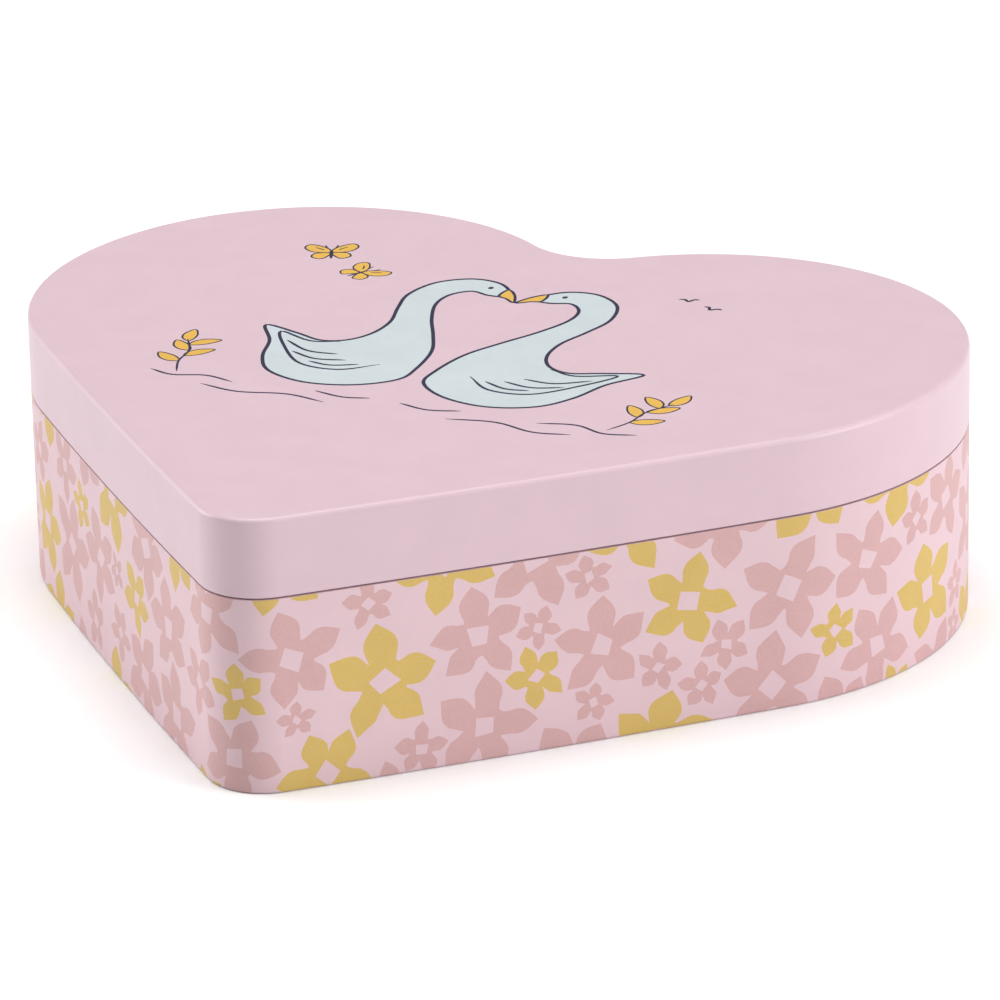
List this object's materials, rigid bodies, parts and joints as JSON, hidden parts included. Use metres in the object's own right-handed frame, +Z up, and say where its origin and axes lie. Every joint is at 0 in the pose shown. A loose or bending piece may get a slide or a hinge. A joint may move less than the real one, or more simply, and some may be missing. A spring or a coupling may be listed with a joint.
{
  "type": "wind-up music box",
  "caption": "Heart-shaped wind-up music box: printed base, plain hinged lid with a mirror, pinned-cylinder movement and a small turning butterfly.",
  "frame": {"origin": "the middle of the box's footprint, hinges included, on the surface it stands on", "axes": "+Z up; +X to the right of someone facing the heart's tip; the tip points to -Y and the hinges are at +Y"},
  "size_m": [0.1798, 0.1654, 0.051],
  "materials": {
    "pink_paper": "pale pink paper over board, satin",
    "printed_paper": "pale pink paper over board, printed with dusty pink and mustard flowers",
    "board": "bare grey-brown board",
    "velvet": "short pink velvet",
    "mirror": "silvered glass",
    "cast_zinc": "die-cast zinc, matt",
    "spring_steel": "brushed",
    "brass": "satin",
    "white_plastic": "moulded",
    "wing_plastic": "moulded, mustard"
  },
  "bodies": {
    "case": {"base_wall": "printed_paper", "base_floor": "board", "base_lining": "velvet", "divider_left": "velvet", "divider_right": "velvet", "divider_rear": "velvet", "pad_left": "velvet", "pad_right": "velvet", "pad_front": "velvet", "platform": "velvet", "bedplate": "cast_zinc", "spring_housing": "cast_zinc", "mainspring": "spring_steel", "cylinder_bracket_inner": "cast_zinc", "cylinder_bracket_outer": "cast_zinc", "governor_bracket": "cast_zinc", "comb": "spring_steel", "comb_base": "cast_zinc", "comb_screw_1": "spring_steel", "comb_screw_2": "spring_steel", "spindle_post": "spring_steel", "bedplate_screw_1": "spring_steel", "bedplate_screw_2": "spring_steel", "bedplate_screw_3": "spring_steel", "hinge_left_base_leaf": "brass", "hinge_left_pin": "brass", "hinge_left_base_screw_1": "brass", "hinge_left_base_screw_2": "brass", "hinge_right_base_leaf": "brass", "hinge_right_pin": "brass", "hinge_right_base_screw_1": "brass", "hinge_right_base_screw_2": "brass"},
    "lid": {"lid_rim": "pink_paper", "lid_panel": "pink_paper", "lid_lining": "velvet", "mirror": "mirror", "hinge_left_lid_leaf": "brass", "hinge_left_lid_screw_1": "brass", "hinge_left_lid_screw_2": "brass", "hinge_right_lid_leaf": "brass", "hinge_right_lid_screw_1": "brass", "hinge_right_lid_screw_2": "brass"},
    "wheel": {"great_wheel": "brass"},
    "key": {"winding_arbor": "spring_steel", "winding_key": "brass"},
    "drum": {"cylinder": "brass", "cylinder_arbor": "spring_steel", "cylinder_gear": "brass"},
    "governor": {"governor_wheel": "brass"},
    "air_brake": {"governor_fan": "spring_steel"},
    "turntable": {"spindle": "white_plastic"},
    "figure": {"figure_spring": "spring_steel", "butterfly_body": "white_plastic", "butterfly_wings": "wing_plastic"},
    "stop": {"stop_wire": "spring_steel"}
  },
  "joints": [
    {"name": "lid_hinge", "type": "hinge", "parent": "case", "child": "lid", "pos_m": [0, 0.0811, 0.03635], "axis": [-1, 0, 0], "range_deg": [0, 100]},
    {"name": "great_wheel_spin", "type": "hinge", "parent": "case", "child": "wheel", "pos_m": [-0.0095, 0.00055, 0.02], "axis": [0, 0, 1], "continuous": true},
    {"name": "key_wind", "type": "hinge", "parent": "wheel", "child": "key", "pos_m": [-0.0095, 0.00055, 0.01], "axis": [0, 0, 1], "continuous": true},
    {"name": "cylinder_spin", "type": "hinge", "parent": "case", "child": "drum", "pos_m": [0.0154, 0.00055, 0.0251], "axis": [1, 0, 0], "continuous": true},
    {"name": "governor_spin", "type": "hinge", "parent": "case", "child": "governor", "pos_m": [0.028, 0.00852, 0.02369], "axis": [1, 0, 0], "continuous": true},
    {"name": "air_brake_spin", "type": "hinge", "parent": "case", "child": "air_brake", "pos_m": [0.0291, 0.01402, 0.02], "axis": [0, 0, 1], "continuous": true},
    {"name": "turntable_spin", "type": "hinge", "parent": "case", "child": "turntable", "pos_m": [0, 0.017, 0.03], "axis": [0, 0, 1], "continuous": true},
    {"name": "figure_fold", "type": "hinge", "parent": "turntable", "child": "figure", "pos_m": [0, 0.01603, 0.04003], "axis": [-1, 0, 0], "range_deg": [0, 90], "deforming": ["figure_spring"]},
    {"name": "stop_slide", "type": "slide", "parent": "case", "child": "stop", "axis": [0, 0, 1], "range_m": [0, 0.003]}
  ],
  "couplings": [
    {"joint": "cylinder_spin", "follows": "great_wheel_spin", "ratio": 3},
    {"joint": "governor_spin", "follows": "great_wheel_spin", "ratio": -9},
    {"joint": "air_brake_spin", "follows": "great_wheel_spin", "ratio": 63},
    {"joint": "turntable_spin", "follows": "great_wheel_spin", "ratio": -2},
    {"joint": "figure_fold", "follows": "lid_hinge", "ratio": 0.9},
    {"joint": "stop_slide", "follows": "lid_hinge", "m_per_rad": 0.0017188}
  ]
}
